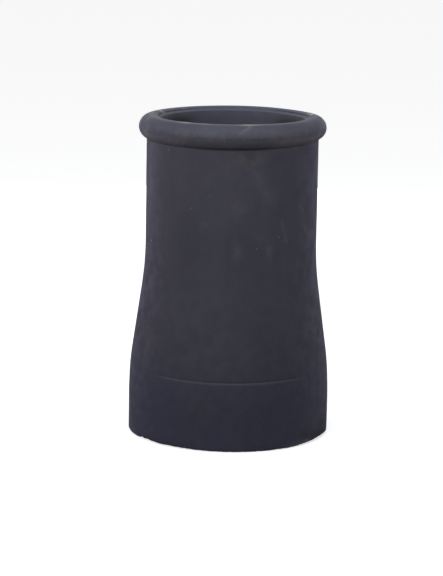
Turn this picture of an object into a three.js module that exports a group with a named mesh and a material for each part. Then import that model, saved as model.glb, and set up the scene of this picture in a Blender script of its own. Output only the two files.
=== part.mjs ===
// A roll-top chimney pot: one hollow piece of fired clay, open from the foot to the mouth.
// Millimetres, +Z up, origin at the centre of the underside that beds on the stack.
import * as THREE from "three";

// Driving dimensions
const POT_HEIGHT = 450;
const BARREL_RADIUS = 120.5;
const WALL_THICKNESS = 19.6;

// The flare: an upright base, a rounded shoulder, a straight cone and a cove into the barrel
const FLARE_ANGLE = THREE.MathUtils.degToRad(8.1);
const SHOULDER_START = 45.5;
const SHOULDER_END = 133;
const COVE_START = 205.5;
const COVE_END = 273;

// The foot's outer edge, rounded where it was sponged off
const FOOT_ROUNDING = 2.5;

// The line scored round the shoulder
const SCORE_HEIGHT = 95;
const SCORE_WIDTH = 2.6;
const SCORE_DEPTH = 0.7;

// The roll round the mouth: an oval bead that stands out from the barrel
const ROLL_CENTRE_RADIUS = 113.2;
const ROLL_HALF_WIDTH = 17.9;
const ROLL_HALF_HEIGHT = 17;
const ROLL_CREST_LAND = 3;

// The mouth: the roll ends inward in a small step, and a lip slopes from there to the edge of the bore
const LIP_RADIUS = 105.6;
const LIP_STEP = 0.9;
const BORE_EDGE_HEIGHT = 444.5;

// How finely the curves are divided
const SEGMENTS_AROUND = 72;
const ARC_STEPS = 5;
const ROLL_STEPS = 18;

const CLAY = new THREE.MeshStandardMaterial({ color: 0x3c3c45, roughness: 0.85, metalness: 0 });

const BORE_RADIUS = BARREL_RADIUS - WALL_THICKNESS;
const SHOULDER_ARC = (SHOULDER_END - SHOULDER_START) / Math.sin(FLARE_ANGLE);
const COVE_ARC = (COVE_END - COVE_START) / Math.sin(FLARE_ANGLE);
const FLARE_DEPTH =
  (SHOULDER_ARC + COVE_ARC) * (1 - Math.cos(FLARE_ANGLE)) + (COVE_START - SHOULDER_END) * Math.tan(FLARE_ANGLE);

// Points along an arc of a circle or an oval in the (radius, height) half plane, both ends included
function arc(centreRadius, centreHeight, halfWidth, halfHeight, from, to, steps) {
  const curve = new THREE.EllipseCurve(centreRadius, centreHeight, halfWidth, halfHeight, from, to, to < from);
  return curve.getPoints(steps);
}

// The shoulder's arc between two heights, for a wall whose upper part has the given radius
function shoulder(upperRadius, fromHeight, toHeight, steps) {
  const centreRadius = upperRadius + FLARE_DEPTH - SHOULDER_ARC;
  const angleAt = (height) => Math.asin((height - SHOULDER_START) / SHOULDER_ARC);
  return arc(
    centreRadius, SHOULDER_START, SHOULDER_ARC, SHOULDER_ARC, angleAt(fromHeight), angleAt(toHeight), steps,
  );
}

// The cove's arc, from the top of the cone to the foot of the barrel
function cove(upperRadius) {
  return arc(upperRadius + COVE_ARC, COVE_END, COVE_ARC, COVE_ARC, Math.PI + FLARE_ANGLE, Math.PI, ARC_STEPS);
}

// The outside of the wall from the underside up to where the roll begins
function outerWall() {
  const baseRadius = BARREL_RADIUS + FLARE_DEPTH;
  const below = shoulder(BARREL_RADIUS, SHOULDER_START, SCORE_HEIGHT - SCORE_WIDTH / 2, ARC_STEPS);
  const above = shoulder(BARREL_RADIUS, SCORE_HEIGHT + SCORE_WIDTH / 2, SHOULDER_END, ARC_STEPS - 1);
  const scoreRadius = (below.at(-1).x + above[0].x) / 2 - SCORE_DEPTH;
  return [
    ...arc(
      baseRadius - FOOT_ROUNDING, FOOT_ROUNDING, FOOT_ROUNDING, FOOT_ROUNDING, -Math.PI / 2, 0, ARC_STEPS - 2,
    ),
    ...below,
    new THREE.Vector2(scoreRadius, SCORE_HEIGHT),
    ...above,
    ...cove(BARREL_RADIUS),
  ];
}

// The roll, from the crisp corner under it over a narrow level crest to the lip of the mouth
function roll() {
  const halfLand = ROLL_CREST_LAND / 2;
  const crestAngle = Math.acos(halfLand / ROLL_HALF_WIDTH);
  const centreHeight = POT_HEIGHT - ROLL_HALF_HEIGHT * Math.sin(crestAngle);
  const cornerAngle = -Math.acos((BARREL_RADIUS - ROLL_CENTRE_RADIUS) / ROLL_HALF_WIDTH);
  const lipAngle = Math.acos((LIP_RADIUS - ROLL_CENTRE_RADIUS) / ROLL_HALF_WIDTH);
  const bead = (from, to, steps) =>
    arc(ROLL_CENTRE_RADIUS, centreHeight, ROLL_HALF_WIDTH, ROLL_HALF_HEIGHT, from, to, steps);
  return [...bead(cornerAngle, crestAngle, ROLL_STEPS), ...bead(Math.PI - crestAngle, lipAngle, ARC_STEPS - 1)];
}

// The inside, from the lip down the bore and out with the flare to the foot
function innerWall(lipHeight) {
  const baseRadius = BORE_RADIUS + FLARE_DEPTH;
  return [
    new THREE.Vector2(LIP_RADIUS, lipHeight - LIP_STEP),
    new THREE.Vector2(BORE_RADIUS, BORE_EDGE_HEIGHT),
    ...cove(BORE_RADIUS).reverse(),
    ...shoulder(BORE_RADIUS, SHOULDER_START, SHOULDER_END, ARC_STEPS).reverse(),
    new THREE.Vector2(baseRadius, 0),
  ];
}

function chimneyPot() {
  const rim = roll();
  const outline = [...outerWall(), ...rim, ...innerWall(rim.at(-1).y)];
  outline.push(outline[0].clone());
  const geometry = new THREE.LatheGeometry(outline, SEGMENTS_AROUND);
  geometry.rotateX(Math.PI / 2);
  const pot = new THREE.Mesh(geometry, CLAY);
  pot.name = "chimney_pot";
  return pot;
}

const part = new THREE.Group();
part.add(chimneyPot());

export default part;
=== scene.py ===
"""A roll-top chimney pot of fired clay under a matt blue-black slip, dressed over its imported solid."""

import math
from collections import namedtuple

import bpy
import numpy as np
from mathutils import Matrix, Vector, noise


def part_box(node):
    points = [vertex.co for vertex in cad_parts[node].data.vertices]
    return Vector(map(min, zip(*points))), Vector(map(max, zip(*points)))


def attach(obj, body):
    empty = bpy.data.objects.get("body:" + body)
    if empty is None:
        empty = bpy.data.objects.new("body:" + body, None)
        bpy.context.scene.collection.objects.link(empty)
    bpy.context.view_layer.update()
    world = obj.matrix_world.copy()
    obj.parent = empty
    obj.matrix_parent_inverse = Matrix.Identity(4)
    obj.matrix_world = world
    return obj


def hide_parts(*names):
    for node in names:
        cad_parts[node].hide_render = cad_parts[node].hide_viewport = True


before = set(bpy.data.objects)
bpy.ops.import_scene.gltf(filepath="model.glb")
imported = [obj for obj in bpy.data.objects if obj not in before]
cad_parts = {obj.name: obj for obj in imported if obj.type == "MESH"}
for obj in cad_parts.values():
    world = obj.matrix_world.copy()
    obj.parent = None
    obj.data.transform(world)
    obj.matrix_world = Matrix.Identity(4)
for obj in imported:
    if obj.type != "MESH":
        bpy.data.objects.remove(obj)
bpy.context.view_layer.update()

# The pot's node, and the body that its dressed piece goes with
NODE = "chimney_pot"
BODY = "root"

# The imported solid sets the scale: one design millimetre in metres
DESIGN_HEIGHT = 450.0
NODE_LOW, NODE_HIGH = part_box(NODE)
MM = (NODE_HIGH.z - NODE_LOW.z) / DESIGN_HEIGHT
BASE_RADIUS = NODE_HIGH.x / MM

# The wall and its flare, in design millimetres
WALL_THICKNESS = 19.6
FLARE_ANGLE = math.radians(8.1)
SHOULDER_START = 45.5
SHOULDER_END = 133.0
COVE_START = 205.5
COVE_END = 273.0
SHOULDER_ARC = (SHOULDER_END - SHOULDER_START) / math.sin(FLARE_ANGLE)
COVE_ARC = (COVE_END - COVE_START) / math.sin(FLARE_ANGLE)
FLARE_DEPTH = (
    (SHOULDER_ARC + COVE_ARC) * (1 - math.cos(FLARE_ANGLE))
    + (COVE_START - SHOULDER_END) * math.tan(FLARE_ANGLE)
)
BARREL_RADIUS = BASE_RADIUS - FLARE_DEPTH
BORE_RADIUS = BARREL_RADIUS - WALL_THICKNESS
FOOT_ROUNDING = 2.5

# The line scored round the shoulder
SCORE_HEIGHT = 95.0
SCORE_WIDTH = 1.4
SCORE_DEPTH = 0.2

# The roll round the mouth, the small step where its crown ends inward, and the lip sloping to the bore
ROLL_CENTRE_RADIUS = 113.2
ROLL_HALF_WIDTH = 17.9
ROLL_HALF_HEIGHT = 17.0
ROLL_CENTRE_HEIGHT = DESIGN_HEIGHT - ROLL_HALF_HEIGHT
LIP_RADIUS = 105.6
LIP_STEP = 1.3
BORE_EDGE_HEIGHT = 444.5
EDGE_ROUNDING = 0.4

# How finely the surface is divided, and the gap below which two points are the same
STEPS_AROUND = 400
STEP_OUTSIDE = 3.6
STEP_INSIDE = 12.0
STEP_ROLL = 1.4
STEP_FINE = 0.6
SAME_POINT = 1e-6

# Zones of the profile
OUTSIDE, ROLL, INSIDE = range(3)


# Profile of the pot, as (radius, height) points in design millimetres

def line(start, end, step=STEP_OUTSIDE):
    """Evenly spaced points from start to end."""
    start, end = np.array(start), np.array(end)
    count = max(2, math.ceil(np.linalg.norm(end - start) / step) + 1)
    return np.linspace(start, end, count)


def arc(centre, half_width, half_height, start, end, step):
    """Points on an arc of an oval between two angles."""
    length = abs(end - start) * max(half_width, half_height)
    angles = np.linspace(start, end, max(3, math.ceil(length / step) + 1))
    return np.column_stack(
        [centre[0] + half_width * np.cos(angles), centre[1] + half_height * np.sin(angles)]
    )


def shoulder(upper_radius, low, high, step):
    """The rounded shoulder between two heights."""
    centre = (upper_radius + FLARE_DEPTH - SHOULDER_ARC, SHOULDER_START)
    start, end = (math.asin((z - SHOULDER_START) / SHOULDER_ARC) for z in (low, high))
    return arc(centre, SHOULDER_ARC, SHOULDER_ARC, start, end, step)


def cove(upper_radius, step):
    """The hollow curve from the cone into the barrel."""
    centre = (upper_radius + COVE_ARC, COVE_END)
    return arc(centre, COVE_ARC, COVE_ARC, math.pi + FLARE_ANGLE, math.pi, step)


def outer_wall(corner):
    """The outside from the underside's edge up to the corner under the roll."""
    below = shoulder(BARREL_RADIUS, SHOULDER_START, SCORE_HEIGHT - SCORE_WIDTH / 2, STEP_OUTSIDE)
    above = shoulder(BARREL_RADIUS, SCORE_HEIGHT + SCORE_WIDTH / 2, SHOULDER_END, STEP_OUTSIDE)
    score = ((below[-1][0] + above[0][0]) / 2 - SCORE_DEPTH, SCORE_HEIGHT)
    hollow = cove(BARREL_RADIUS, STEP_OUTSIDE)
    foot_centre = (BASE_RADIUS - FOOT_ROUNDING, FOOT_ROUNDING)
    near_corner = (BARREL_RADIUS, corner[1] - STEP_OUTSIDE)
    return [
        arc(foot_centre, FOOT_ROUNDING, FOOT_ROUNDING, -math.pi / 2, 0, STEP_FINE),
        line((BASE_RADIUS, FOOT_ROUNDING), (BASE_RADIUS, 2 * FOOT_ROUNDING), STEP_FINE),
        line((BASE_RADIUS, 2 * FOOT_ROUNDING), (BASE_RADIUS, SHOULDER_START)),
        below,
        line(below[-1], score, STEP_FINE),
        line(score, above[0], STEP_FINE),
        above,
        line(above[-1], hollow[0]),
        hollow,
        line(hollow[-1], near_corner),
        line(near_corner, corner, STEP_FINE),
    ]


def roll():
    """The roll, from the corner under it over the crest to the step of the lip."""
    centre = (ROLL_CENTRE_RADIUS, ROLL_CENTRE_HEIGHT)
    corner = -math.acos((BARREL_RADIUS - ROLL_CENTRE_RADIUS) / ROLL_HALF_WIDTH)
    step = math.acos((LIP_RADIUS - ROLL_CENTRE_RADIUS) / ROLL_HALF_WIDTH)
    return arc(centre, ROLL_HALF_WIDTH, ROLL_HALF_HEIGHT, corner, step, STEP_ROLL)


def inner_wall(crown_end):
    """The inside, from the lip's step down the bore to the underside."""
    inner_base = BORE_RADIUS + FLARE_DEPTH
    lip_top = (LIP_RADIUS - EDGE_ROUNDING, crown_end[1] - LIP_STEP)
    bore_edge = (BORE_RADIUS + EDGE_ROUNDING, BORE_EDGE_HEIGHT + EDGE_ROUNDING)
    bore_top = (BORE_RADIUS, BORE_EDGE_HEIGHT - EDGE_ROUNDING)
    hollow = cove(BORE_RADIUS, STEP_INSIDE)[::-1]
    flare = shoulder(BORE_RADIUS, SHOULDER_START, SHOULDER_END, STEP_INSIDE)[::-1]
    return [
        line(crown_end, lip_top, STEP_FINE),
        line(lip_top, bore_edge, STEP_FINE),
        line(bore_edge, bore_top, STEP_FINE),
        line(bore_top, hollow[0], STEP_INSIDE),
        hollow,
        line(hollow[-1], flare[0], STEP_INSIDE),
        flare,
        line((inner_base, SHOULDER_START), (inner_base, 0), STEP_INSIDE),
        line((inner_base, 0), (BASE_RADIUS - FOOT_ROUNDING, 0), STEP_OUTSIDE),
    ]


def profile():
    """The whole closed outline with no point twice, and the zone of each point."""
    bead = roll()
    outside = np.vstack(outer_wall(bead[0]))
    inside = np.vstack(inner_wall(bead[-1]))
    points = np.vstack([outside, bead, inside])
    zones = np.repeat([OUTSIDE, ROLL, INSIDE], [len(outside), len(bead), len(inside)])
    gaps = np.linalg.norm(points - np.roll(points, 1, axis=0), axis=1)
    kept = gaps > SAME_POINT
    return points[kept], zones[kept]


def wall_radius(height):
    """Outer radius of the turned wall at a height."""
    outline = np.vstack(outer_wall(roll()[0]))
    return float(np.interp(height, outline[:, 1], outline[:, 0]))


# The surface, and ways to place soft marks on it

def smoothstep(low, high, value):
    """0 up to the low end, 1 from the high end, and a smooth rise between them."""
    t = np.clip((value - low) / (high - low), 0, 1)
    return t * t * (3 - 2 * t)


def band(rise, fall, value):
    """1 between two soft ends: a rise over the first range and a fall over the second."""
    return smoothstep(*rise, value) * (1 - smoothstep(*fall, value))


def bell(distance, reach, power=2):
    """1 at no distance, fading over the reach. A higher power has a flatter top."""
    return np.exp(-(distance / reach) ** power)


def in_space(radius, angle, height):
    """Points in space, from their radius, their angle from the front and their height."""
    places = np.broadcast_arrays(radius * np.sin(angle), -radius * np.cos(angle), height)
    return np.stack(places, axis=-1).reshape(-1, 3)


class Surface:
    """A grid in design millimetres: a row for each profile point, a column for each step round the axis."""

    def __init__(self):
        outline, zones = profile()
        self.shape = (len(outline), STEPS_AROUND)
        self.outside = zones[:, None] == OUTSIDE
        self.rolled = zones[:, None] == ROLL
        self.inside = zones[:, None] == INSIDE
        self.turned_radius = outline[:, :1]
        self.turned_height = outline[:, 1:]
        self.angle = np.linspace(-math.pi, math.pi, STEPS_AROUND, endpoint=False)[None, :]
        self.radius = np.broadcast_to(self.turned_radius, self.shape)
        self.height = np.broadcast_to(self.turned_height, self.shape)
        steps = np.linalg.norm(np.diff(outline, axis=0), axis=1)
        self.along = np.concatenate([[0], np.cumsum(steps)])[:, None]
        out = (self.turned_radius - ROLL_CENTRE_RADIUS) / ROLL_HALF_WIDTH
        up = (self.turned_height - ROLL_CENTRE_HEIGHT) / ROLL_HALF_HEIGHT
        self.bead = np.degrees(np.arctan2(up, out))

    def points(self):
        """The points in space, row by row."""
        return in_space(self.radius, self.angle, self.height)

    def noise(self, length, seed):
        """Smooth noise, about -1 to 1, over the turned surface."""
        places = in_space(self.turned_radius, self.angle, self.turned_height) / length + seed
        values = np.fromiter((noise.noise(place) for place in places), float, len(places))
        return values.reshape(self.shape)

    def around(self, degrees):
        """Angle from a direction, in degrees, wrapped to -180..180."""
        return (np.degrees(self.angle) - degrees + 180) % 360 - 180

    def away(self, degrees):
        """Angle from a direction to either side, in degrees."""
        return np.abs(self.around(degrees))

    def at_height(self, height):
        """Length along the profile at a height of the outside."""
        gaps = np.abs(self.turned_height - height)
        return self.along[np.argmin(np.where(self.outside, gaps, np.inf)), 0]

    def at_bead(self, degrees):
        """Length along the profile at an angle of the roll."""
        gaps = np.abs(self.bead - degrees)
        return self.along[np.argmin(np.where(self.rolled, gaps, np.inf)), 0]

    def mark(self, degrees, along, half_width, half_height):
        """A soft spot: 1 at its middle, fading with the distance on the surface."""
        across = np.radians(self.around(degrees)) * self.turned_radius / half_width
        return np.exp(-(across ** 2 + ((self.along - along) / half_height) ** 2))

    def streak(self, start, end, half_width):
        """A soft line between two places, each an angle in degrees and a length along the profile."""
        across = np.radians(self.around(start[0])) * self.turned_radius
        along = self.along - start[1]
        step_across = math.radians(end[0] - start[0]) * self.turned_radius
        step_along = end[1] - start[1]
        length = step_across ** 2 + step_along ** 2
        t = np.clip((across * step_across + along * step_along) / length, 0, 1)
        gap = np.hypot(across - t * step_across, along - t * step_along)
        return bell(gap, half_width)

    def spots(self, marks, place):
        """Sum of soft spots: (angle, where along the profile, half-width, half-length, strength)."""
        return sum(
            strength * self.mark(degrees, place(where), half_width, half_length)
            for degrees, where, half_width, half_length, strength in marks
        )

    def streaks(self, marks, place):
        """Sum of soft lines: (angle, where along the profile) at both ends, half-width, strength."""
        return sum(
            strength * self.streak(*((degrees, place(where)) for degrees, where in ends), half_width)
            for *ends, half_width, strength in marks
        )

    def swells(self, marks):
        """Sum of soft stretches of the way round: (angle, half-width in degrees, size)."""
        return sum(size * bell(self.around(degrees), half_width) for degrees, half_width, size in marks)


# The form as made by hand. Angles are from the front in degrees, positive to the right.
# Places on the roll are given by the roll's angle: 0 outward, 90 on the crest.

# The clay's unevenness, as (depth, length, seed) of its swells and of its finer ripples.
# It fades out below this height.
UNEVENNESS = [(0.30, 90.0, 3.7), (0.10, 16.0, 11.3)]
EVEN_BELOW = 12.0

# Wear of the foot's outer edge: (angle, half-width in degrees, height taken off), and how far it reaches
FOOT_WEAR = [
    (68, 14, 2.2), (50, 10, 0.8), (-53, 7, 1.4), (-59, 1.8, 1.6), (-32, 16, 1.0), (30, 4, 0.4),
    (140, 25, 1.6), (-140, 18, 1.2),
]
FOOT_WEAR_HEIGHT = 3 * FOOT_ROUNDING
FOOT_WEAR_REACH = 9.0
FOOT_WEAR_INWARD = 0.6

# Raggedness of that edge, as (depth, length, seed)
FOOT_RAGGED = (0.5, 5.5, 23.9)

# The roll's underside sags, most to the front left, and takes the top of the wall with it
SAG_MEAN = -0.4
SAG_SWING = 1.2
SAG_TOWARDS = math.radians(-35)
SAG_OVAL = 0.8
SAG_FADE = 25.0

# The scored line runs a little high, most at the sides
SCORE_RISE = 1.4
SCORE_BOW = 2.2
SCORE_FADE = 18.0

# It ends between the first pair of angles and returns towards the back between the second.
# At the sides its painted highlight is fainter and its groove shallower by these shares.
SCORE_ENDS = (34, 49)
SCORE_RETURN = (105, 130)
SCORE_FAINT = 0.94
SCORE_FILLED = 0.8

# The roll swells a little at its left end: (angle, half-width in degrees, depth).
# On the roll, it is at this angle and has this half-width in degrees.
ROLL_SWELL = (-96, 26, 0.9)
ROLL_SWELL_BEAD = 40
ROLL_SWELL_SPREAD = 55

# The rim stands a little askew: it rises to the right and the back, over the top of the wall
RIM_RISE_RIGHT = 0.004
RIM_RISE_BACK = 0.005
RIM_RISE_HEIGHTS = (330.0, 420.0)
RIM_DROP = 0.5

# Slow waves of the rim: (angle, half-width in degrees, rise)
RIM_WAVES = [(86, 22, 0.6), (130, 22, -0.6)]

# Chips through the slip on the rim: (angle, roll angle, half-width, half-length, depth)
RIM_CHIPS = [(101, 93, 5.5, 3.2, 0.8), (109, 93, 3.0, 2.0, 0.4), (-110, 104, 2.4, 1.8, 0.4)]


def roughen(surface):
    """Swells and ripples of the clay."""
    uneven = sum(depth * surface.noise(length, seed) for depth, length, seed in UNEVENNESS)
    surface.radius = surface.radius + uneven * smoothstep(0, EVEN_BELOW, surface.turned_height)


def wear_foot(surface):
    """Take off the foot's outer edge, on the wall and on the underside beside it."""
    depth, length, seed = FOOT_RAGGED
    worn = surface.swells(FOOT_WEAR) + depth * surface.noise(length, seed)
    low_wall = surface.outside * (1 - smoothstep(0, FOOT_WEAR_HEIGHT, surface.turned_height))
    edge = BASE_RADIUS - FOOT_ROUNDING
    underside = surface.inside & (surface.turned_height == 0)
    beside = underside * smoothstep(edge - FOOT_WEAR_REACH, edge, surface.turned_radius)
    lift = np.maximum(worn, 0) * (low_wall + beside)
    surface.height = surface.height + lift
    surface.radius = surface.radius - FOOT_WEAR_INWARD * lift


def sag_roll(surface):
    """Lower the roll's underside and the top of the wall."""
    sag = SAG_MEAN + SAG_SWING * np.cos(surface.angle - SAG_TOWARDS)
    sag = sag + SAG_OVAL * np.cos(2 * surface.angle)
    corner = surface.turned_height[np.argmax(surface.rolled), 0]
    top_of_wall = surface.outside * smoothstep(corner - SAG_FADE, corner, surface.turned_height)
    underside = surface.rolled * smoothstep(0, 90, -surface.bead)
    surface.height = surface.height - sag * (top_of_wall + underside)


def faint_score(surface):
    """Where the scored line is faint: 1 at the sides, 0 at the front and the back."""
    return band(SCORE_ENDS, SCORE_RETURN, surface.away(0))


def bend_score(surface):
    """Raise the scored line with the wall beside it, and fill its groove where it is faint."""
    from_score = surface.turned_height - SCORE_HEIGHT
    rise = SCORE_RISE + SCORE_BOW * np.sin(surface.angle) ** 2
    surface.height = surface.height + rise * bell(from_score, SCORE_FADE) * surface.outside
    groove = np.clip(1 - np.abs(from_score) / (SCORE_WIDTH / 2), 0, 1)
    filled = SCORE_FILLED * faint_score(surface) * groove * surface.outside
    surface.radius = surface.radius + SCORE_DEPTH * filled


def swell_roll(surface):
    """Push the roll's left end outward and up."""
    swollen = surface.rolled * surface.swells([ROLL_SWELL])
    swollen = swollen * bell(surface.bead - ROLL_SWELL_BEAD, ROLL_SWELL_SPREAD)
    bead = np.radians(surface.bead)
    surface.radius = surface.radius + swollen * np.cos(bead)
    surface.height = surface.height + swollen * np.sin(bead)


def tilt_rim(surface):
    """Set the rim askew and wavy."""
    slope = RIM_RISE_RIGHT * np.sin(surface.angle) - RIM_RISE_BACK * np.cos(surface.angle)
    rise = surface.radius * slope + surface.swells(RIM_WAVES) - RIM_DROP
    surface.height = surface.height + rise * smoothstep(*RIM_RISE_HEIGHTS, surface.turned_height)


def chip_rim(surface):
    """Sink the rim's chips below the slip."""
    surface.height = surface.height - surface.spots(RIM_CHIPS, surface.at_bead) * ~surface.outside


SHAPING = [roughen, wear_foot, sag_roll, bend_score, swell_roll, tilt_rim, chip_rim]


# Where the slip is worn, stained or scuffed, and where light and shade are painted on it

# Soft spots on the wall, for each mask: (angle, height, half-width, half-height, strength)
WALL_SPOTS = {
    # Pale scuffs
    "scuffs": [
        (26, 275, 6, 13, 0.5), (19, 293, 8, 14, 0.25), (4, 278, 7, 14, 0.4), (-18, 310, 8, 6, 0.25),
        (52, 4, 8, 4, 0.8), (43, 6, 16, 4, 0.5),
    ],
    # Dusty patches
    "wall_dust": [(-66, 385, 22, 50, 0.5), (-68, 335, 18, 34, 0.45), (130, 360, 40, 40, 0.4)],
    # Warm stains
    "warm": [
        (11, 402, 28, 17, 1.0), (5, 338, 18, 14, 0.5), (-150, 370, 40, 18, 0.7), (110, 300, 30, 20, 0.6),
    ],
    # Bluer, lighter slip on the barrel and the base: on the right of the barrel it is a painted bluish
    # reflection, on the right of the base painted light
    "cool": [
        (54, 350, 34, 70, 0.8), (66, 290, 24, 110, 0.5), (62, 55, 40, 45, 0.5), (34, 26, 30, 30, 0.18),
        (-170, 300, 60, 70, 0.6),
    ],
    # Dull stains on the base
    "stains": [
        (-14, 66, 16, 14, 0.7), (-22, 38, 12, 12, 0.5), (2, 50, 14, 10, 0.4), (-160, 60, 30, 20, 0.5),
    ],
    # Painted shade, darker and bluer, at the sides of the flare and under the roll
    "dark": [
        (-70, 195, 28, 70, 0.7), (-80, 155, 24, 28, 0.8), (60, 225, 24, 50, 0.3), (78, 157, 26, 44, 1.0),
        (31, 402, 20, 16, 0.35),
    ],
    # Dark smears low on the base, partly dirt and partly painted shadow
    "smears_and_shadow": [
        (64, 11, 32, 7, 0.8), (72, 15, 14, 9, 0.8), (82, 17, 24, 14, 1.0), (-150, 14, 30, 12, 0.3),
    ],
}

# Soft spots on the roll, for each mask: (angle, roll angle, half-width, half-length, strength)
ROLL_SPOTS = {
    # Reddish-brown blush on the underside
    "blush": [
        (-40, -34, 26, 8, 0.8), (46, -34, 28, 8, 0.9), (-66, -30, 24, 9, 0.9), (80, -30, 34, 9, 0.4),
        (0, -38, 44, 7, 0.3), (33, -40, 20, 8, 0.7), (-120, -28, 60, 9, 0.6), (150, -28, 70, 9, 0.6),
    ],
    # Slate patches on the face
    "slate": [
        (-62, 24, 26, 12, 0.9), (-40, 8, 16, 10, 0.8), (66, 22, 18, 12, 0.9), (46, 6, 16, 8, 0.5),
        (-150, 20, 40, 12, 0.8), (120, 20, 40, 12, 0.7),
    ],
    # Pinkish scuffs
    "rim_scuffs": [
        (-111, 98, 6, 4, 1.0), (-95, 90, 8, 5, 0.8), (-72, 62, 6, 5, 0.6), (-110, 114, 6, 3, 0.8),
        (-138, 108, 5, 3, 0.8), (-124, 96, 9, 4, 0.6), (112, 92, 8, 4, 0.6), (66, -14, 8, 7, 0.5),
        (-66, -18, 9, 7, 0.6), (-80, 70, 6, 4, 0.6), (57, -20, 7, 2.5, 0.7), (-17, 45, 2.2, 2.2, 0.22),
        (-11, 18, 2.0, 2.4, 0.28), (-5, -4, 1.8, 2.6, 0.3), (-77, 73, 2.4, 2.2, 0.5),
        (-91, 84, 3.0, 2.4, 0.35), (60, -28, 5.0, 4.0, 0.45),
    ],
}

# Pale slanting smudges on the wall: (angle, height) at both ends, half-width, strength
WALL_SMUDGES = [
    ((17, 378), (25, 352), 8.5, 0.35), ((35, 315), (39, 288), 1.9, 0.6),
    ((51, 338), (55, 325), 2.2, 0.55), ((57, 305), (63, 286), 4.0, 0.5),
    ((-112, 345), (-118, 312), 5.0, 0.6), ((150, 238), (156, 204), 6.0, 0.6),
]

# Thin pale scratches across the roll: (angle, roll angle) at both ends, half-width, strength
ROLL_SCRATCHES = [
    ((11, 60), (4, 20), 2.2, 0.4), ((11, 60), (7.5, 42), 2.2, 0.5), ((10, 52), (14, 43), 2.0, 0.25),
]

# Small pale specks on the wall: (angle, height, radius, strength).
# Within this share of its radius a speck is full.
SPECKS = [
    (-67, 277.5, 2.1, 1.0), (-27, 333, 1.3, 0.42), (-14, 351.5, 1.3, 0.28), (-74, 330, 2.2, 0.8),
    (-68.5, 327, 1.4, 0.4), (33, 294.5, 1.4, 0.5), (17, 280, 1.3, 0.4), (-46.5, 409, 1.8, 0.4),
    (52, 4.5, 2.2, 0.6), (49.5, 3.5, 1.8, 0.4),
]
SPECK_CORE = 0.4

# The crest, at this roll angle, is rubbed pale over this reach. It is spared round one place at the
# right, given as (angle, half-width in degrees, share), and from the sides to the back.
CREST_BEAD = 86
CREST_REACH = 3.0
CREST_RUB = 0.7
CREST_SPARED = (66, 40, 0.55)
CREST_BACK_SIDES = (110, 150)
CREST_BACK_SPARED = 0.6

# In places it is rubbed towards the clay: (angle, half-width in mm, strength)
CREST_WEAR = [
    (-34, 9, 1.0), (-25, 9, 0.2), (-19, 6, 0.3), (9, 9, 1.0), (15, 9, 0.5), (32, 18, 0.15),
    (-112, 10, 0.5), (150, 40, 0.25),
]

# Painted light under the roll, lifting its shade towards the sides: the roll angles where it starts and
# ends, and its rise to both sides of an angle at the front
UNDER_LIGHT_START = (-78, -60)
UNDER_LIGHT_END = (-20, -2)
UNDER_LIGHT_MIDDLE = -10
UNDER_LIGHT_SIDES = (26, 62)

# Dust on the roll's face, carried down over the top of its underside as painted light: the roll angles
# where it starts and ends
ROLL_DUST_AND_LIGHT_START = (-24, 0)
ROLL_DUST_AND_LIGHT_END = (12, 55)

# Paler dust on the crown, from this roll angle, and on the lip of the mouth, where it also lifts the shade
# of the lip's step as painted light. It rises to the back over these angles.
RIM_BACK_BEAD = 48
RIM_BACK_SIDES = (75, 118)

# A painted highlight along the scored line's edge, a little below its middle
SCORE_HIGHLIGHT_HEIGHT = SCORE_HEIGHT - SCORE_WIDTH / 4
SCORE_HIGHLIGHT_REACH = SCORE_WIDTH / 3

# A faint line of painted shade along the front of the roll's widest line
SHADE_LINE_BEAD = -5
SHADE_LINE_REACH = 1.6
SHADE_LINE_MIDDLE = 4
SHADE_LINE_SPREAD = 30

# Painted shadow in the corner under the roll, thickest at the front, with this share elsewhere
UNDER_SHADOW_REACH = 2.6
UNDER_SHADOW_SPREAD = 26
UNDER_SHADOW_ELSEWHERE = 0.15

# Dirt and painted contact shade along the foot's lower edge: (angle, half-width in degrees, strength)
FOOT_DIRT_AND_SHADE = [(12, 16, 0.9), (62, 16, 0.8), (-40, 24, 0.4), (180, 60, 0.5)]
FOOT_DIRT_AND_SHADE_REACH = 3.2

# The bare underside: how far it climbs inside, and its fade near the outer edge
BARE_HEIGHT = 4.0
BARE_FADE = (BASE_RADIUS - 10.0, BASE_RADIUS - 5.0)

# Soot inside: the depth below the bore's edge over which it thickens, and how thick it grows
SOOT_DEPTH = (60, 200)
SOOT_DEEP = 0.8

# Near the mouth it is painted shade, which reaches the bore's edge at the sides, that is, away from this
# angle at the back
MOUTH_BACK = 179
MOUTH_SIDES = (26, 50)
SIDE_SHADE_START = (-0.5, 1.0)
SIDE_SHADE = 0.88

# A line of soot follows the edge all round, and adds to the painted shade at the sides by this share
SOOT_AT_EDGE = 0.42
SOOT_EDGE_REACH = 7.0
SOOT_EDGE_ADDED = 0.4

# Painted shade in the lip's step and a painted highlight on the bore's edge, with their shares at the back
STEP_SHADE_REACH = 0.7 * LIP_STEP
STEP_SHADE_AT_BACK = 0.05
EDGE_HIGHLIGHT_REACH = 1.2
EDGE_HIGHLIGHT_AT_BACK = 0.3


def least(share, amount):
    """The amount, raised so that it starts from a share instead of 0."""
    return share + (1 - share) * amount


def spot_masks(surface):
    """Spots, smudges, scratches and chips."""
    masks = {name: surface.spots(spots, surface.at_height) for name, spots in WALL_SPOTS.items()}
    masks |= {name: surface.spots(spots, surface.at_bead) for name, spots in ROLL_SPOTS.items()}
    masks["scuffs"] = masks["scuffs"] + surface.streaks(WALL_SMUDGES, surface.at_height)
    masks["scratch"] = surface.streaks(ROLL_SCRATCHES, surface.at_bead)
    masks["chips"] = surface.spots([(*chip[:-1], 1) for chip in RIM_CHIPS], surface.at_bead)
    return masks


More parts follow.
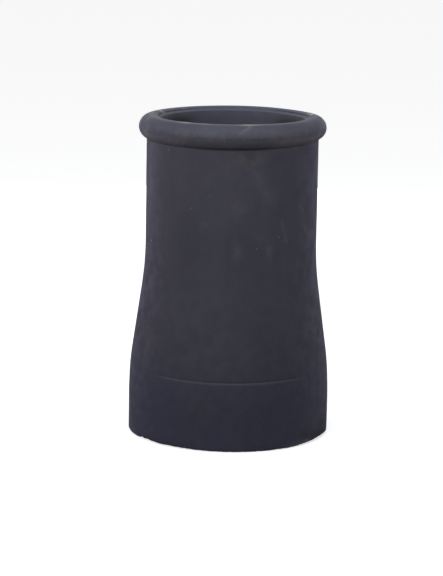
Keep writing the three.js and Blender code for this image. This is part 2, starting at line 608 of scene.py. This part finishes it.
def roll_masks(surface):
    """Rubs along the roll's crest, dust on its face and its crown, and painted light on its underside and
    in the lip's step.
    """
    wear = [
        (degrees, CREST_BEAD, half_width, CREST_REACH, strength)
        for degrees, half_width, strength in CREST_WEAR
    ]
    rub = CREST_RUB * bell(surface.along - surface.at_bead(CREST_BEAD), CREST_REACH)
    rub = rub * (1 - surface.swells([CREST_SPARED]))
    rub = rub * (1 - CREST_BACK_SPARED * smoothstep(*CREST_BACK_SIDES, surface.away(0)))
    under_roll_light = surface.rolled * band(UNDER_LIGHT_START, UNDER_LIGHT_END, surface.bead)
    lip = surface.inside & (surface.turned_height >= BORE_EDGE_HEIGHT)
    crown = surface.rolled & (surface.bead > RIM_BACK_BEAD)
    return {
        "crest_wear": surface.spots(wear, surface.at_bead),
        "crest_rub": rub,
        "under_roll_light": under_roll_light * smoothstep(*UNDER_LIGHT_SIDES, surface.away(UNDER_LIGHT_MIDDLE)),
        "roll_dust_and_light": surface.rolled * band(ROLL_DUST_AND_LIGHT_START, ROLL_DUST_AND_LIGHT_END, surface.bead),
        "rim_back": (lip | crown) * smoothstep(*RIM_BACK_SIDES, surface.away(0)),
    }


def line_masks(surface):
    """Lines round the pot: a painted highlight on the scored line's edge, a painted shade line on the roll,
    painted shadow under the roll, and dirt with painted shade on the foot.
    """
    score = bell(surface.along - surface.at_height(SCORE_HIGHLIGHT_HEIGHT), SCORE_HIGHLIGHT_REACH)
    widest_line_shade = bell(surface.along - surface.at_bead(SHADE_LINE_BEAD), SHADE_LINE_REACH)
    corner = surface.along[np.argmax(surface.rolled), 0]
    under_roll_shadow = bell(surface.along - corner, UNDER_SHADOW_REACH)
    at_front = bell(surface.around(0), UNDER_SHADOW_SPREAD, power=4)
    low = bell(surface.turned_height, FOOT_DIRT_AND_SHADE_REACH) * surface.outside
    return {
        "score": score * (1 - SCORE_FAINT * faint_score(surface)),
        "widest_line_shade": widest_line_shade * bell(surface.around(SHADE_LINE_MIDDLE), SHADE_LINE_SPREAD, power=4),
        "under_roll_shadow": under_roll_shadow * least(UNDER_SHADOW_ELSEWHERE, at_front),
        "foot_dirt_and_shade": surface.swells(FOOT_DIRT_AND_SHADE) * low,
    }


def inner_masks(surface):
    """The bore with its soot and painted shade, painted shade and highlight on the lip's two edges, and the
    bare underside.
    """
    below = BORE_EDGE_HEIGHT - surface.turned_height
    sides = smoothstep(*MOUTH_SIDES, surface.away(MOUTH_BACK))
    deep = SOOT_DEEP * smoothstep(*SOOT_DEPTH, below)
    at_sides = SIDE_SHADE * sides * smoothstep(*SIDE_SHADE_START, below)
    at_edge = SOOT_AT_EDGE * np.exp(-np.maximum(below, 0) / SOOT_EDGE_REACH) * (below > 0)
    soot_and_shade = np.maximum(np.maximum(deep, at_sides), at_edge) + SOOT_EDGE_ADDED * sides * at_edge
    step = surface.along[np.argmax(surface.inside), 0] + LIP_STEP / 2
    bore_edge = surface.along[surface.inside & (below < 0)].max()
    bare = surface.inside * (1 - smoothstep(0, BARE_HEIGHT, surface.turned_height))
    return {
        "bore": surface.inside * (below > 0) * (surface.turned_height > 0),
        "soot_and_shade": surface.inside * soot_and_shade,
        "step_shade": bell(surface.along - step, STEP_SHADE_REACH) * least(STEP_SHADE_AT_BACK, sides),
        "edge_highlight": bell(surface.along - bore_edge, EDGE_HIGHLIGHT_REACH) * least(EDGE_HIGHLIGHT_AT_BACK, sides),
        "underside": bare * (1 - smoothstep(*BARE_FADE, surface.turned_radius)),
    }


def worn_masks(surface):
    """Masks from 0 to 1 that tell the material where the slip is worn, stained or scuffed, and where light
    and shade are painted.
    """
    masks = {}
    for group in (spot_masks, roll_masks, line_masks, inner_masks):
        masks |= group(surface)
    return {name: np.clip(np.broadcast_to(mask, surface.shape), 0, 1) for name, mask in masks.items()}


def pot_mesh():
    """The pot's surface as a closed grid in metres, with its masks as point attributes."""
    surface = Surface()
    for shape in SHAPING:
        shape(surface)
    index = np.arange(math.prod(surface.shape)).reshape(surface.shape)
    right = np.roll(index, -1, axis=1)
    up = np.roll(index, -1, axis=0)
    faces = np.stack([index, right, np.roll(right, -1, axis=0), up], axis=-1).reshape(-1, 4)
    mesh = bpy.data.meshes.new("slipped_pot")
    mesh.from_pydata(surface.points() * MM, [], faces)
    mesh.polygons.foreach_set("use_smooth", np.ones(len(faces), bool))
    for name, mask in worn_masks(surface).items():
        attribute = mesh.attributes.new(name, "FLOAT", "POINT")
        attribute.data.foreach_set("value", np.ravel(mask).astype(np.float32))
    mesh.update()
    return mesh


# The slip's colours

SLIP_DARK = (0.0617, 0.0596, 0.0818)
SLIP_LIGHT = (0.0903, 0.0875, 0.1180)
# Colours the slip fades to low down: darker as painted shade, and bluer at the foot
SLIP_LOW = (0.0346, 0.0336, 0.0495)
SLIP_FOOT = (0.0352, 0.0342, 0.0625)
WARM_SLIP = (0.104, 0.098, 0.104)
# Bluer slip, also used for a painted bluish reflection and painted light
COOL_SLIP_AND_LIGHT = (0.0640, 0.0630, 0.1010)
# Painted shade for the sides of the flare and under the roll
PAINTED_DEEP_SHADE = (0.0300, 0.0285, 0.0490)
DUSTY_SLIP = (0.103, 0.099, 0.119)
SLATE_SLIP = (0.080, 0.085, 0.112)
SLATE_DARK = (0.064, 0.069, 0.092)
# Paler slip for the bore: painted light that lifts its shade
PAINTED_BORE_LIGHT = (0.088, 0.087, 0.123)
STAIN = (0.036, 0.0365, 0.046)
# Painted light under the roll
PAINTED_UNDER_LIGHT = (0.208, 0.193, 0.238)
# Dust, and painted light on the lip's step at the back
BLUE_DUST_AND_LIGHT = (0.096, 0.101, 0.134)
BLUSH_BROWN = (0.166, 0.142, 0.162)
BLUSH_RED = (0.200, 0.142, 0.156)
SMUDGE = (0.122, 0.118, 0.141)
# Pale colour for scuffs and for painted highlights
PALE_SCUFF_AND_HIGHLIGHT = (0.190, 0.182, 0.190)
PINK_SCUFF = (0.270, 0.205, 0.190)
SPECK = (0.260, 0.250, 0.265)
# Dark colour for dirt and for painted shade and shadow
SHADE_AND_DIRT = (0.022, 0.020, 0.022)
# Dirt and painted shadow low on the base
SMEAR_AND_SHADOW = (0.010, 0.010, 0.012)
# Soot, also used for painted shade
SOOT_AND_SHADE = (0.028, 0.028, 0.036)
TAN_RUB = (0.450, 0.352, 0.298)
CHIP_CLAY = (0.640, 0.530, 0.410)
TAN_CLAY = (0.270, 0.190, 0.125)
RED_CLAY = (0.200, 0.105, 0.070)

# Noises over the surface: (length of their features in mm, detail, roughness)
NOISES = {
    "clouds": (75, 3, 0.55),
    "olive": (48, 4, 0.55),
    "dapple": (20, 5, 0.6),
    "mottle": (17, 5, 0.6),
    "clay": (9, 4, 0.55),
    "patches": (7, 5, 0.7),
    "freckles": (4.5, 3, 0.6),
    "crumbs": (3, 4, 0.7),
    "grain": (2.2, 3, 0.6),
}

# One more noise, drawn out upright, whose height is scaled by this share
RUNS = (14, 4, 0.6)
RUNS_SCALE = 0.14

# The slip goes from dark to light over this range of tone, which is made of these shares of the noises
TONE_RANGE = (0.36, 0.64)
TONE_SHARES = {"clouds": 0.40, "mottle": 0.34, "runs": 0.14, "grain": 0.12}

# Olive clouds in it: the range of their noise and their largest share
OLIVE_RANGE = (0.5, 0.68)
OLIVE_SHARE = 0.14

# The slip darkens evenly from the rim down to this height, as painted shade of light falling off downward,
# and turns bluer down this range of heights
LOW_SLIP_TOP = 54.0
SLIP_FOOT_FADE = (SCORE_HEIGHT - 20, SCORE_HEIGHT + 40)

# A blend of two colours, by a noise over a range of it
Blend = namedtuple("Blend", "first second noise between")
SLATE_TO_DUST = Blend(SLATE_SLIP, DUSTY_SLIP, "dapple", (0.40, 0.60))
BROWN_TO_RED = Blend(BLUSH_BROWN, BLUSH_RED, "patches", (0.52, 0.66))
TAN_TO_RED = Blend(TAN_CLAY, RED_CLAY, "clay", (0.40, 0.62))

# A layer over the slip: its mask, its colour, its largest share, the noise that breaks it up,
# the range of that noise over which it thickens, and its smallest share
Layer = namedtuple("Layer", "mask colour share noise between thinnest", defaults=(1.0, None, None, 0.0))
LAYERS = [
    Layer("stains", STAIN, 1.0, "mottle", (0.30, 0.62), 0.4),
    # Painted shade at the sides of the flare and under the roll
    Layer("dark", PAINTED_DEEP_SHADE, 1.0, "mottle", (0.30, 0.62), 0.4),
    # Dust on the roll's face, and painted light over the top of its underside
    Layer("roll_dust_and_light", SLATE_TO_DUST),
    Layer("roll_dust_and_light", SMUDGE, 0.35, "freckles", (0.48, 0.66)),
    Layer("slate", SLATE_DARK, 1.0, "mottle", (0.34, 0.58), 0.4),
    # Painted light that lifts the shade under the roll at its sides
    Layer("under_roll_light", PAINTED_UNDER_LIGHT, 0.85, "mottle", (0.34, 0.60), 0.45),
    # Partly a painted bluish reflection and painted light on the right side
    Layer("cool", COOL_SLIP_AND_LIGHT, 0.7),
    Layer("wall_dust", DUSTY_SLIP, 0.8),
    Layer("warm", WARM_SLIP, 0.8, "mottle", (0.42, 0.62)),
    # Painted light that lifts the shade down the bore
    Layer("bore", PAINTED_BORE_LIGHT),
    # Dust on the crown and lip at the back, and painted light on the lip's step
    Layer("rim_back", BLUE_DUST_AND_LIGHT, 0.9, "mottle", (0.30, 0.60), 0.4),
    # Soot deep in the bore, and painted shade near the mouth at the sides
    Layer("soot_and_shade", SOOT_AND_SHADE),
    # Painted shade in the lip's step
    Layer("step_shade", SOOT_AND_SHADE, 0.9),
    # Painted highlight on the bore's edge
    Layer("edge_highlight", PALE_SCUFF_AND_HIGHLIGHT, 0.35),
    Layer("blush", BROWN_TO_RED, 1.0, "patches", (0.34, 0.60), 0.35),
    # Painted shadow in the corner under the roll
    Layer("under_roll_shadow", SHADE_AND_DIRT, 0.9),
    # Dirt and painted contact shade along the foot's lower edge
    Layer("foot_dirt_and_shade", SHADE_AND_DIRT, 0.9, "patches", (0.36, 0.56), 0.2),
    # Dark smears low on the base, partly painted shadow
    Layer("smears_and_shadow", SMEAR_AND_SHADOW, 1.0, "patches", (0.30, 0.60), 0.6),
    # Painted shade line along the front of the roll's widest line
    Layer("widest_line_shade", SHADE_AND_DIRT, 0.36, "mottle", (0.35, 0.60), 0.1),
    Layer("scuffs", SMUDGE, 0.9, "patches", (0.34, 0.60), 0.4),
    Layer("rim_scuffs", PINK_SCUFF, 1.0, "patches", (0.40, 0.56)),
    Layer("crest_rub", PALE_SCUFF_AND_HIGHLIGHT, 1.0, "mottle", (0.30, 0.60), 0.5),
    Layer("scratch", PALE_SCUFF_AND_HIGHLIGHT, 0.5),
    # Painted highlight along the scored line
    Layer("score", PALE_SCUFF_AND_HIGHLIGHT, 0.29),
    Layer("crest_wear", TAN_RUB, 1.0, "patches", (0.34, 0.56), 0.5),
    Layer("underside", TAN_TO_RED),
]

# The chips' broken edge: how far a noise moves it, the range of that noise, and where on the mask it is
CHIP_RAGGED = 0.3
CHIP_NOISE_RANGE = (0.3, 0.7)
CHIP_EDGE = (0.42, 0.55)

# Finish: roughness over a range of the mottle, a fine relief made of shares of the noises, a slight sheen
ROUGHNESS_RANGE = (0.35, 0.65)
ROUGHNESS = (0.62, 0.82)
RELIEF_SHARES = {"mottle": 0.5, "grain": 0.5}
RELIEF_STRENGTH = 0.35
RELIEF_DEPTH = 0.6
SPECULAR = 0.4
SHEEN = 0.06
SHEEN_ROUGHNESS = 0.4


class Nodes:
    """Short ways to add and link shader nodes."""

    # Where a colour mix has its amount, its two colours and its result
    MIX_INPUTS = (0, 6, 7)
    MIX_OUTPUT = 2

    def __init__(self, tree):
        self.tree = tree

    def add(self, kind, inputs=None, **settings):
        """A new node with its settings and inputs."""
        made = self.tree.nodes.new(kind)
        for name, value in settings.items():
            setattr(made, name, value)
        for name, value in (inputs or {}).items():
            self.feed(made.inputs[name], value)
        return made

    def feed(self, socket, value):
        """Link an output to a socket, or set a constant on it."""
        if isinstance(value, bpy.types.NodeSocket):
            self.tree.links.new(value, socket)
        else:
            socket.default_value = value

    def noise(self, where, length, detail, roughness):
        """Noise whose features are about the given length in millimetres."""
        inputs = {"Vector": where, "Scale": 1 / (length * MM), "Detail": detail, "Roughness": roughness}
        return self.add("ShaderNodeTexNoise", inputs).outputs["Fac"]

    def ramp(self, value, low, high, to_low=0.0, to_high=1.0, interpolation="SMOOTHSTEP"):
        """The value brought from one range to another."""
        inputs = {"Value": value, "From Min": low, "From Max": high, "To Min": to_low, "To Max": to_high}
        return self.add("ShaderNodeMapRange", inputs, interpolation_type=interpolation).outputs["Result"]

    def math(self, operation, *values):
        """A sum, product or the like of outputs and constants."""
        return self.add("ShaderNodeMath", dict(enumerate(values)), operation=operation).outputs[0]

    def weighted(self, values, shares):
        """Sum of named values, each by its share."""
        total = 0.0
        for name, share in shares.items():
            total = self.math("MULTIPLY_ADD", values[name], share, total)
        return total

    def mix(self, amount, first, second):
        """Colour mix: first where the amount is 0, second where it is 1."""
        made = self.add("ShaderNodeMix", data_type="RGBA")
        for slot, value in zip(self.MIX_INPUTS, (amount, first, second)):
            self.feed(made.inputs[slot], (*value, 1) if isinstance(value, tuple) else value)
        return made.outputs[self.MIX_OUTPUT]

    def mask(self, name):
        """One of the masks stored on the points."""
        return self.add("ShaderNodeAttribute", attribute_name=name).outputs["Fac"]


def plain_slip(n, noises, height):
    """The slip's colour: mottled, with olive clouds, and darker towards the foot as painted shade."""
    slip = n.mix(n.ramp(n.weighted(noises, TONE_SHARES), *TONE_RANGE), SLIP_DARK, SLIP_LIGHT)
    slip = n.mix(n.ramp(noises["olive"], *OLIVE_RANGE, 0.0, OLIVE_SHARE), slip, WARM_SLIP)
    lower = n.mix(n.ramp(height, *(fade * MM for fade in SLIP_FOOT_FADE)), SLIP_FOOT, SLIP_LOW)
    # Painted shade: darker towards the foot
    painted_falloff = n.ramp(height, NODE_HIGH.z, LOW_SLIP_TOP * MM, interpolation="LINEAR")
    return n.mix(painted_falloff, slip, lower)


def layered(n, noises, colour, layer):
    """A colour with a layer over it."""
    over = layer.colour
    if isinstance(over, Blend):
        over = n.mix(n.ramp(noises[over.noise], *over.between), over.first, over.second)
    share = layer.share
    if layer.noise:
        share = n.ramp(noises[layer.noise], *layer.between, layer.thinnest, layer.share)
    return n.mix(n.math("MULTIPLY", n.mask(layer.mask), share), colour, over)


def specked(n, where, colour, degrees, height, size, strength):
    """A colour with a small speck over it."""
    place = in_space(wall_radius(height), math.radians(degrees), height)[0] * MM
    gap = n.add("ShaderNodeVectorMath", {0: where, 1: place}, operation="DISTANCE").outputs["Value"]
    return n.mix(n.ramp(gap, size * MM, SPECK_CORE * size * MM, 0.0, strength), colour, SPECK)


def clay_material():
    """Matt slip, mottled and smeared, over a tan clay that shows where it is worn."""
    material = bpy.data.materials.new("slipped_clay")
    material.use_nodes = True
    n = Nodes(material.node_tree)
    shader = material.node_tree.nodes["Principled BSDF"]
    where = n.add("ShaderNodeTexCoord").outputs["Object"]
    height = n.add("ShaderNodeSeparateXYZ", {"Vector": where}).outputs["Z"]
    noises = {name: n.noise(where, *settings) for name, settings in NOISES.items()}
    drawn_out = n.add("ShaderNodeMapping", {"Vector": where, "Scale": (1, 1, RUNS_SCALE)})
    noises["runs"] = n.noise(drawn_out.outputs["Vector"], *RUNS)

    colour = plain_slip(n, noises, height)
    for layer in LAYERS:
        colour = layered(n, noises, colour, layer)
    for speck in SPECKS:
        colour = specked(n, where, colour, *speck)
    ragged = n.ramp(noises["crumbs"], *CHIP_NOISE_RANGE, -CHIP_RAGGED, CHIP_RAGGED)
    broken = n.ramp(n.math("ADD", n.mask("chips"), ragged), *CHIP_EDGE)
    n.feed(shader.inputs["Base Color"], n.mix(broken, colour, CHIP_CLAY))

    n.feed(shader.inputs["Roughness"], n.ramp(noises["mottle"], *ROUGHNESS_RANGE, *ROUGHNESS))
    relief = n.weighted(noises, RELIEF_SHARES)
    bump_inputs = {"Strength": RELIEF_STRENGTH, "Distance": RELIEF_DEPTH * MM, "Height": relief}
    n.feed(shader.inputs["Normal"], n.add("ShaderNodeBump", bump_inputs).outputs["Normal"])
    shader.inputs["Specular IOR Level"].default_value = SPECULAR
    shader.inputs["Sheen Weight"].default_value = SHEEN
    shader.inputs["Sheen Roughness"].default_value = SHEEN_ROUGHNESS
    return material


def dressed_pot():
    """The pot in its slip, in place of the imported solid."""
    pot = bpy.data.objects.new("slipped_pot", pot_mesh())
    bpy.context.scene.collection.objects.link(pot)
    pot.data.materials.append(clay_material())
    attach(pot, BODY)
    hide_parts(NODE)


# Floor, light and camera, in metres

# The floor, a hair below the foot, with a glow of its own and no light on the pot
FLOOR_HALF_WIDTH = 40.0
FLOOR_GAP = 0.0005
FLOOR_COLOUR = (0.93, 0.93, 0.93)
FLOOR_ROUGHNESS = 0.9
FLOOR_GLOW = 0.62

# Light of the dome above, from the horizon to the zenith, and of the dim ground below the horizon
HORIZON_LIGHT = 0.88
ZENITH_LIGHT = 0.10
GROUND_LIGHT = 0.07
HORIZON_BLUR = 0.04

# Softboxes: (name, angle from the front in degrees, distance, height, width and height of the box,
# watts, colour), all aimed at this height on the axis
WHITE = (1, 1, 1)
SKY = (0.90, 1.0, 1.16)
VIOLET = (0.92, 0.87, 1.4)
SOFTBOXES = [
    ("key", -28, 2.4, 1.3, 1.6, 1.2, 15.2, WHITE),
    ("top", 0, 0.3, 2.2, 1.2, 1.2, 13.8, SKY),
    ("left_rim", -128, 1.7, 0.40, 1.2, 0.9, 1.9, VIOLET),
    ("right_rim", 142, 1.7, 0.40, 1.2, 0.9, 1.6, VIOLET),
    ("back", 180, 2.4, 0.30, 1.6, 0.8, 8.0, WHITE),
    ("left_low", -112, 1.7, 0.15, 1.0, 0.3, 1.35, VIOLET),
    ("right_low", 112, 1.7, 0.15, 1.0, 0.3, 1.15, VIOLET),
]
AIM_HEIGHT = 0.25

# The camera, fitted to the photograph: its place, its turn in radians, its focal length in pixels
IMAGE_LONG_SIDE = 576
SENSOR_WIDTH = 36.0
CAMERA_DISTANCE = 3.1658
CAMERA_HEIGHT = 0.8070
CAMERA_PITCH = 0.1886
CAMERA_YAW = 0.0038
CAMERA_ROLL = 0.0176
FOCAL_PIXELS = 2273.0


def floor():
    """The pale ground that the pot stands on."""
    mesh = bpy.data.meshes.new("floor")
    half = FLOOR_HALF_WIDTH
    corners = [(-half, -half), (half, -half), (half, half), (-half, half)]
    mesh.from_pydata([(x, y, -FLOOR_GAP) for x, y in corners], [], [(0, 1, 2, 3)])
    plane = bpy.data.objects.new("floor", mesh)
    bpy.context.scene.collection.objects.link(plane)
    material = bpy.data.materials.new("pale_floor")
    material.use_nodes = True
    shader = material.node_tree.nodes["Principled BSDF"]
    shader.inputs["Base Color"].default_value = (*FLOOR_COLOUR, 1)
    shader.inputs["Roughness"].default_value = FLOOR_ROUGHNESS
    shader.inputs["Specular IOR Level"].default_value = 0.0
    shader.inputs["Emission Color"].default_value = (*WHITE, 1)
    shader.inputs["Emission Strength"].default_value = FLOOR_GLOW
    mesh.materials.append(material)
    plane.visible_diffuse = False
    plane.visible_glossy = False
    plane.visible_shadow = False


def dome():
    """Even light from above, dim light from below."""
    world = bpy.data.worlds.new("studio")
    bpy.context.scene.world = world
    world.use_nodes = True
    n = Nodes(world.node_tree)
    background = world.node_tree.nodes["Background"]
    towards = n.add("ShaderNodeTexCoord").outputs["Generated"]
    up = n.add("ShaderNodeSeparateXYZ", {"Vector": towards}).outputs["Z"]
    above = n.ramp(up, 0, 1, HORIZON_LIGHT, ZENITH_LIGHT)
    light = n.ramp(up, -HORIZON_BLUR, HORIZON_BLUR, GROUND_LIGHT, above)
    n.feed(background.inputs["Strength"], light)
    background.inputs["Color"].default_value = (*WHITE, 1)


def softbox(name, degrees, distance, height, width, tall, watts, colour):
    """A soft area light that faces the pot."""
    data = bpy.data.lights.new(name, "AREA")
    data.shape = "RECTANGLE"
    data.size = width
    data.size_y = tall
    data.energy = watts
    data.color = colour
    light = bpy.data.objects.new(name, data)
    place = Vector(in_space(distance, math.radians(degrees), height)[0])
    towards = Vector((0, 0, AIM_HEIGHT)) - place
    turn = towards.to_track_quat("-Z", "Y").to_matrix().to_4x4()
    light.matrix_world = Matrix.Translation(place) @ turn
    light.visible_camera = False
    bpy.context.scene.collection.objects.link(light)


def camera():
    """The camera in front of the pot, looking a little down."""
    data = bpy.data.cameras.new("camera")
    data.sensor_width = SENSOR_WIDTH
    data.lens = FOCAL_PIXELS * SENSOR_WIDTH / IMAGE_LONG_SIDE
    ahead = Vector((-math.sin(CAMERA_YAW), math.cos(CAMERA_YAW), 0))
    right = Vector((math.cos(CAMERA_YAW), math.sin(CAMERA_YAW), 0))
    up = Vector((0, 0, 1))
    look = ahead * math.cos(CAMERA_PITCH) - up * math.sin(CAMERA_PITCH)
    top = ahead * math.sin(CAMERA_PITCH) + up * math.cos(CAMERA_PITCH)
    image_right = right * math.cos(CAMERA_ROLL) + top * math.sin(CAMERA_ROLL)
    image_up = top * math.cos(CAMERA_ROLL) - right * math.sin(CAMERA_ROLL)
    eye = bpy.data.objects.new("camera", data)
    turn = Matrix((image_right, image_up, -look)).transposed().to_4x4()
    eye.matrix_world = Matrix.Translation((0, -CAMERA_DISTANCE, CAMERA_HEIGHT)) @ turn
    bpy.context.scene.collection.objects.link(eye)
    bpy.context.scene.camera = eye


dressed_pot()
floor()
dome()
for box in SOFTBOXES:
    softbox(*box)
camera()
bpy.context.scene.view_settings.view_transform = "Standard"
